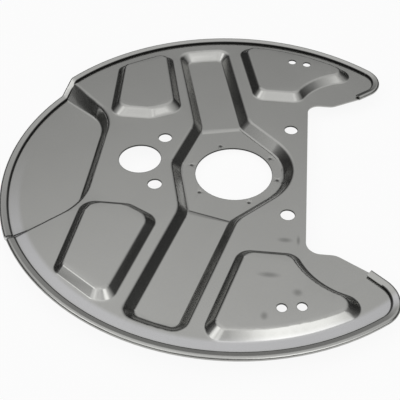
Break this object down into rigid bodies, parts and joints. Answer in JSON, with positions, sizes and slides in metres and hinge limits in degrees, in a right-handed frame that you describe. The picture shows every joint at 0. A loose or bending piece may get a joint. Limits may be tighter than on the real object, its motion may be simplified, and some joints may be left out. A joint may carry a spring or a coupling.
{
  "type": "brake dust shield",
  "caption": "Round pressed sheet-steel brake dust shield with hub bore, caliper cut-out, stiffening channel, raised pockets and hemmed rim.",
  "frame": {"origin": "on the axis of the hub bore, in the plane of the underside of the hub pad, which seats on the knuckle", "axes": "+Z along the bore axis towards the side of the brake disc, the side of the hem's raw edge; +X from the bore to the caliper cut-out"},
  "size_m": [0.2501, 0.3, 0.0158],
  "materials": {
    "bare_steel": "semi-gloss bare steel with a light film of oil and small handling scratches"
  },
  "bodies": {
    "root": {"dust_shield": "bare_steel"}
  },
  "joints": []
}
